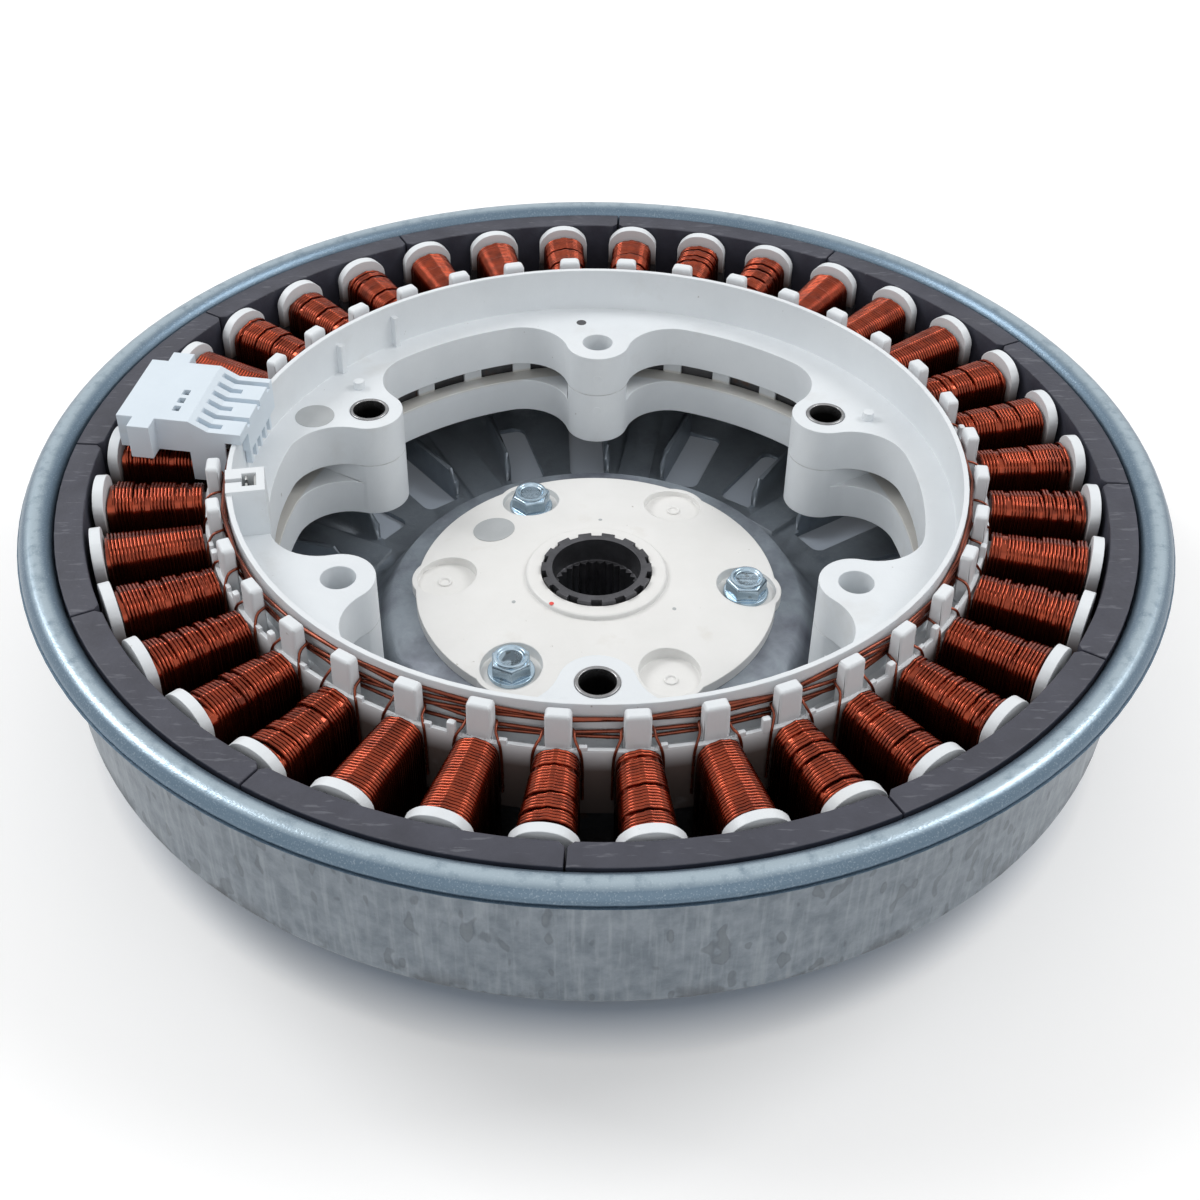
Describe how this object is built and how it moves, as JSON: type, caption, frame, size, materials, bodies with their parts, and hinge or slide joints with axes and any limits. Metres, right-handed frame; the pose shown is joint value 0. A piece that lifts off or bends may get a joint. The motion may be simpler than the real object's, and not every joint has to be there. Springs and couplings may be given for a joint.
{
  "type": "washing machine stator with rotor",
  "caption": "Flat round direct-drive washing machine motor: a wound white stator ring nested in its magnet-lined steel rotor cup, with a splined hub in the middle.",
  "frame": {"origin": "on the motor axis, at the underside of the rotor cup's floor", "axes": "+Z along the motor axis, out of the open side with the windings; the connector block lies towards -X and the side nearest the camera is -Y"},
  "size_m": [0.2972, 0.2972, 0.0726],
  "materials": {
    "winding": "satin",
    "lamination": "satin",
    "insulator_plastic": "satin",
    "connector_plastic": "satin",
    "ferrite": "matte",
    "galvanised_sheet": "satin",
    "hub_plastic": "satin",
    "bush_steel": "machined",
    "zinc_steel": "satin",
    "tinned_metal": "satin",
    "contact_steel": "satin"
  },
  "bodies": {
    "stator": {"coil_01": "winding", "coil_02": "winding", "coil_03": "winding", "coil_04": "winding", "coil_05": "winding", "coil_06": "winding", "coil_07": "winding", "coil_08": "winding", "coil_09": "winding", "coil_10": "winding", "coil_11": "winding", "coil_12": "winding", "coil_13": "winding", "coil_14": "winding", "coil_15": "winding", "coil_16": "winding", "coil_17": "winding", "coil_18": "winding", "coil_19": "winding", "coil_20": "winding", "coil_21": "winding", "coil_22": "winding", "coil_23": "winding", "coil_24": "winding", "coil_25": "winding", "coil_26": "winding", "coil_27": "winding", "coil_28": "winding", "coil_29": "winding", "coil_30": "winding", "coil_31": "winding", "coil_32": "winding", "coil_33": "winding", "coil_34": "winding", "coil_35": "winding", "coil_36": "winding", "stator_core": "lamination", "upper_insulator": "insulator_plastic", "lower_insulator": "insulator_plastic", "bolt_sleeves": "zinc_steel", "connector_housing": "connector_plastic", "connector_pins": "tinned_metal", "clip_contact": "contact_steel", "crossover_wires": "winding"},
    "rotor": {"rotor_frame": "galvanised_sheet", "magnets": "ferrite", "rotor_hub": "hub_plastic", "spline_bush": "bush_steel", "hub_bolts": "zinc_steel"}
  },
  "joints": [
    {"name": "rotor_spin", "type": "hinge", "parent": "stator", "child": "rotor", "pos_m": [0, 0, 0], "axis": [0, 0, 1], "continuous": true}
  ]
}
